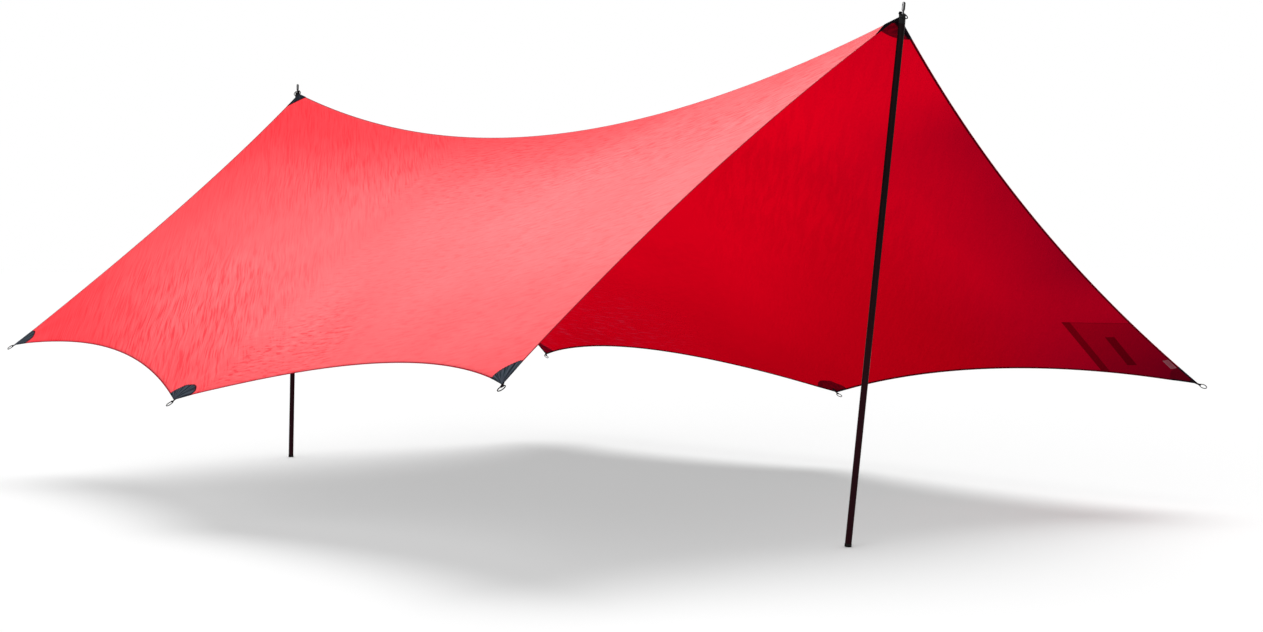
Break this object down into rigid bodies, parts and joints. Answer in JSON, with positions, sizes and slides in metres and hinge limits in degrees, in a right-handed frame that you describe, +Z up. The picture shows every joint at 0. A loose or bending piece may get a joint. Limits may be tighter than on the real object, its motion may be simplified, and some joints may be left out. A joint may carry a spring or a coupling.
{
  "type": "camping tarp",
  "caption": "Pitched rain and sun tarp: saddle-shaped cloth with hollow edges on two leaning poles, with fan-shaped corner patches, webbing loops and rings.",
  "frame": {"origin": "centre of the bounding box at ground level, between the two pole feet", "axes": "+X along the ridge from the left peak to the right peak, +Y to the far side, +Z up"},
  "size_m": [4.5749, 3.7078, 2.011],
  "materials": {
    "canopy_cloth": "woven red coated polyester, faintly see-through against the light",
    "patch_cloth": "matt slate-grey reinforcement cloth",
    "closure_strip": "short-pile closing strip",
    "label": "bare pale ribbon",
    "webbing": "black woven webbing",
    "ring_steel": "bright steel wire",
    "spigot_steel": "turned steel",
    "cap_plastic": "black moulded plastic",
    "foot_rubber": "black rubber",
    "ferrule_aluminium": "plain drawn tube",
    "pole_aluminium": "black anodised tube"
  },
  "bodies": {
    "canopy": {"canopy_near_panel": "canopy_cloth", "canopy_far_panel": "canopy_cloth", "ridge_seam_tape": "canopy_cloth", "stow_pocket": "canopy_cloth", "pocket_mouth_strip": "canopy_cloth", "pocket_closure_strip": "closure_strip", "blank_label": "label", "corner_patch_near_left": "patch_cloth", "corner_patch_near_right": "patch_cloth", "corner_patch_far_left": "patch_cloth", "corner_patch_far_right": "patch_cloth", "side_patch_near": "patch_cloth", "side_patch_far": "patch_cloth", "peak_patch_left": "patch_cloth", "peak_patch_right": "patch_cloth", "corner_loop_near_left": "webbing", "corner_loop_near_right": "webbing", "corner_loop_far_left": "webbing", "corner_loop_far_right": "webbing", "side_loop_near": "webbing", "side_loop_far": "webbing", "peak_loop_left": "webbing", "peak_loop_right": "webbing"},
    "corner_ring_near_left": {"corner_ring_near_left": "ring_steel"},
    "corner_ring_near_right": {"corner_ring_near_right": "ring_steel"},
    "corner_ring_far_left": {"corner_ring_far_left": "ring_steel"},
    "corner_ring_far_right": {"corner_ring_far_right": "ring_steel"},
    "side_ring_near": {"side_ring_near": "ring_steel"},
    "side_ring_far": {"side_ring_far": "ring_steel"},
    "peak_ring_left": {"peak_ring_left": "ring_steel"},
    "pole_upper_left": {"top_cap_left": "cap_plastic", "spigot_left": "spigot_steel", "upper_tube_left": "pole_aluminium", "upper_ferrule_left": "ferrule_aluminium"},
    "pole_middle_left": {"middle_tube_left": "pole_aluminium", "lower_ferrule_left": "ferrule_aluminium"},
    "pole_lower_left": {"lower_tube_left": "pole_aluminium", "foot_left": "foot_rubber"},
    "peak_ring_right": {"peak_ring_right": "ring_steel"},
    "pole_upper_right": {"top_cap_right": "cap_plastic", "spigot_right": "spigot_steel", "upper_tube_right": "pole_aluminium", "upper_ferrule_right": "ferrule_aluminium"},
    "pole_middle_right": {"middle_tube_right": "pole_aluminium", "lower_ferrule_right": "ferrule_aluminium"},
    "pole_lower_right": {"lower_tube_right": "pole_aluminium", "foot_right": "foot_rubber"}
  },
  "joints": [
    {"name": "corner_ring_near_left_swing", "type": "hinge", "parent": "canopy", "child": "corner_ring_near_left", "pos_m": [-2.16, -1.62372, 0.64576], "axis": [0.7316, -0.5259, -0.4337], "range_deg": [-90, 90]},
    {"name": "corner_ring_near_right_swing", "type": "hinge", "parent": "canopy", "child": "corner_ring_near_right", "pos_m": [2.19596, -1.76623, 0.67922], "axis": [0.7386, 0.5165, 0.4333], "range_deg": [-90, 90]},
    {"name": "corner_ring_far_left_swing", "type": "hinge", "parent": "canopy", "child": "corner_ring_far_left", "pos_m": [-2.20376, 1.61952, 0.49731], "axis": [-0.7541, -0.4827, 0.4454], "range_deg": [-90, 90]},
    {"name": "corner_ring_far_right_swing", "type": "hinge", "parent": "canopy", "child": "corner_ring_far_right", "pos_m": [2.26135, 1.74658, 0.54409], "axis": [-0.6986, 0.5329, -0.4774], "range_deg": [-90, 90]},
    {"name": "side_ring_near_swing", "type": "hinge", "parent": "canopy", "child": "side_ring_near", "pos_m": [0.01244, -1.82876, 0.50906], "axis": [0.9997, -0.0212, 0.0118], "range_deg": [-90, 90]},
    {"name": "side_ring_far_swing", "type": "hinge", "parent": "canopy", "child": "side_ring_far", "pos_m": [0.0241, 1.82945, 0.38278], "axis": [-0.9986, -0.0515, 0.0095], "range_deg": [-90, 90]},
    {"name": "peak_ring_left_tilt", "type": "hinge", "parent": "canopy", "child": "peak_ring_left", "pos_m": [-2.26026, 0.01, 1.973], "axis": [0, 1, 0], "range_deg": [0, 25]},
    {"name": "pole_left_lift_out", "type": "slide", "parent": "peak_ring_left", "child": "pole_upper_left", "axis": [0.0191, -0.0366, -0.9991], "range_m": [0, 0.055]},
    {"name": "pole_left_upper_joint", "type": "slide", "parent": "pole_upper_left", "child": "pole_middle_left", "axis": [0.0191, -0.0366, -0.9991], "range_m": [0, 0.06]},
    {"name": "pole_left_lower_joint", "type": "slide", "parent": "pole_middle_left", "child": "pole_lower_left", "axis": [0.0191, -0.0366, -0.9991], "range_m": [0, 0.06]},
    {"name": "peak_ring_right_tilt", "type": "hinge", "parent": "canopy", "child": "peak_ring_right", "pos_m": [2.19382, 0.01, 1.973], "axis": [0, -1, 0], "range_deg": [0, 25]},
    {"name": "pole_right_lift_out", "type": "slide", "parent": "peak_ring_right", "child": "pole_upper_right", "axis": [-0.0984, -0.0395, -0.9944], "range_m": [0, 0.055]},
    {"name": "pole_right_upper_joint", "type": "slide", "parent": "pole_upper_right", "child": "pole_middle_right", "axis": [-0.0984, -0.0395, -0.9944], "range_m": [0, 0.06]},
    {"name": "pole_right_lower_joint", "type": "slide", "parent": "pole_middle_right", "child": "pole_lower_right", "axis": [-0.0984, -0.0395, -0.9944], "range_m": [0, 0.06]}
  ]
}
